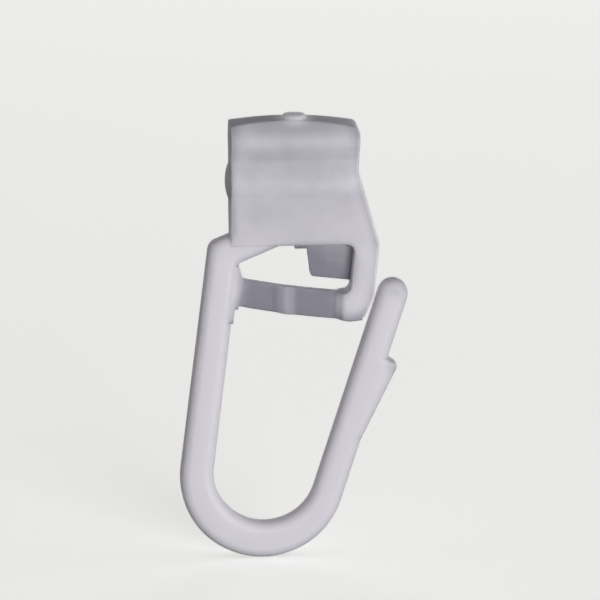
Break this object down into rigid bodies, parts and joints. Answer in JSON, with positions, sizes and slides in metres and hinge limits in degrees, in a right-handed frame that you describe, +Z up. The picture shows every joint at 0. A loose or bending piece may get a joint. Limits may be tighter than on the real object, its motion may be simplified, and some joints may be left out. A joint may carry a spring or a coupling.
{
  "type": "curtain track glider",
  "caption": "One-piece white plastic curtain track glider: a waisted slider head with a small barred eye on one side and a long open hook with an outer ledge below.",
  "frame": {"origin": "middle of the head's waist, which stands in the slot of the curtain track", "axes": "+X along the track, towards the side with the eye's leg; +Y across the slot, with the rib's side at -Y; +Z up, from the hook to the head"},
  "size_m": [0.0188, 0.0046, 0.0374],
  "materials": {
    "plastic": "natural white moulded plastic, smooth and slightly translucent, satin"
  },
  "bodies": {
    "root": {"glider": "plastic"}
  },
  "joints": []
}
